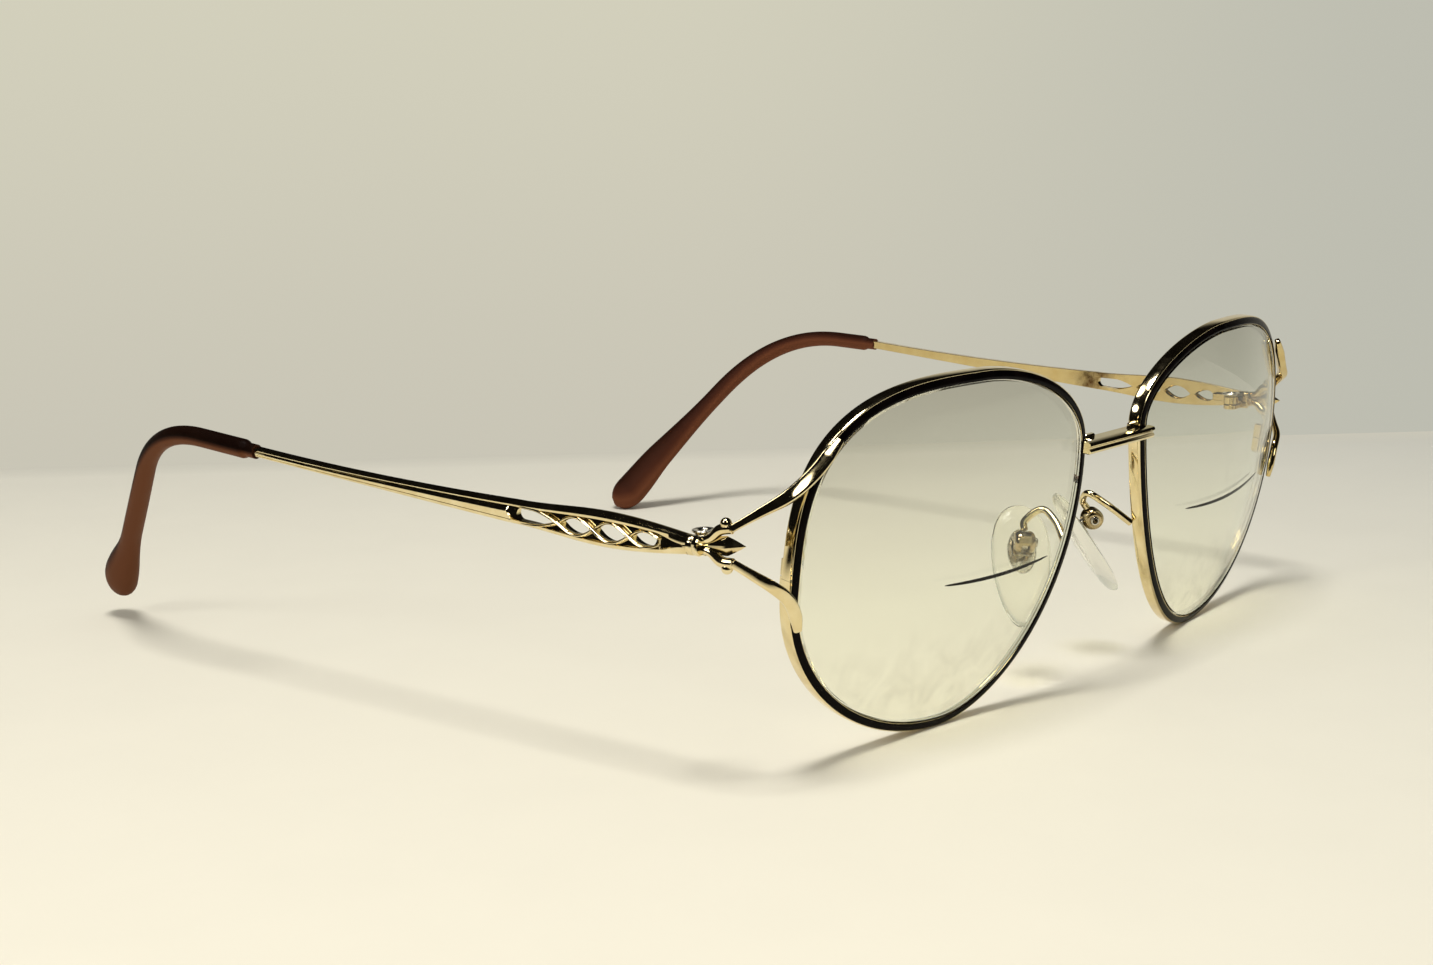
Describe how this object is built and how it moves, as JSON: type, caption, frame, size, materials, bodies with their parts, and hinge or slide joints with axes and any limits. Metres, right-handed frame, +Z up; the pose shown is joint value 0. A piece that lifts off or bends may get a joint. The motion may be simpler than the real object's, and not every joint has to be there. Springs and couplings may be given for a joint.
{
  "type": "eyeglasses",
  "caption": "Oversized rounded metal eyeglasses with tulip endpieces, twisted openwork temples that fold, rocking nose pads and tinted bifocal lenses.",
  "frame": {"origin": "on the floor, midway between the two lenses, below the front of the lenses", "axes": "+Z up, +X to the wearer's left, the front faces -Y and the temples run back along +Y"},
  "size_m": [0.1522, 0.1554, 0.0482],
  "materials": {
    "gold_metal": "polished gold plate",
    "screw_steel": "satin",
    "enamelled_rim": "gloss black enamel on gold wire",
    "tinted_lens": "polished, grey-brown tint fading downward",
    "tip_plastic": "translucent mauve brown",
    "clear_pad": "clear"
  },
  "bodies": {
    "front": {"bridge": "gold_metal", "rim_left": "enamelled_rim", "lens_left": "tinted_lens", "closing_block_upper_left": "gold_metal", "closing_block_lower_left": "gold_metal", "closing_screw_left": "screw_steel", "endpiece_left": "gold_metal", "upper_arm_left": "gold_metal", "lower_arm_left": "gold_metal", "hinge_front_left": "gold_metal", "hinge_screw_left": "screw_steel", "pad_arm_left": "gold_metal", "pad_box_left": "gold_metal", "pad_screw_left": "screw_steel", "rim_right": "enamelled_rim", "lens_right": "tinted_lens", "closing_block_upper_right": "gold_metal", "closing_block_lower_right": "gold_metal", "closing_screw_right": "screw_steel", "endpiece_right": "gold_metal", "upper_arm_right": "gold_metal", "lower_arm_right": "gold_metal", "hinge_front_right": "gold_metal", "hinge_screw_right": "screw_steel", "pad_arm_right": "gold_metal", "pad_box_right": "gold_metal", "pad_screw_right": "screw_steel"},
    "temple_arm_left": {"hinge_rear_left": "gold_metal", "temple_left": "gold_metal", "temple_tip_left": "tip_plastic"},
    "pad_left": {"nose_pad_left": "clear_pad", "pad_insert_left": "screw_steel"},
    "temple_arm_right": {"hinge_rear_right": "gold_metal", "temple_right": "gold_metal", "temple_tip_right": "tip_plastic"},
    "pad_right": {"nose_pad_right": "clear_pad", "pad_insert_right": "screw_steel"}
  },
  "joints": [
    {"name": "temple_fold_left", "type": "hinge", "parent": "front", "child": "temple_arm_left", "pos_m": [0.0669, 0.0156, 0.03011], "axis": [0, 0, 1], "range_deg": [0, 78]},
    {"name": "temple_fold_right", "type": "hinge", "parent": "front", "child": "temple_arm_right", "pos_m": [-0.0669, 0.0156, 0.03011], "axis": [0, 0, -1], "range_deg": [0, 86.5]},
    {"name": "pad_rock_left", "type": "hinge", "parent": "front", "child": "pad_left", "pos_m": [0.0095, 0.0078, 0.02046], "axis": [0.6703, 0.7375, 0.0823], "range_deg": [-8, 8]},
    {"name": "pad_rock_right", "type": "hinge", "parent": "front", "child": "pad_right", "pos_m": [-0.0095, 0.0078, 0.02046], "axis": [0.6703, -0.7375, -0.0823], "range_deg": [-8, 8]}
  ]
}
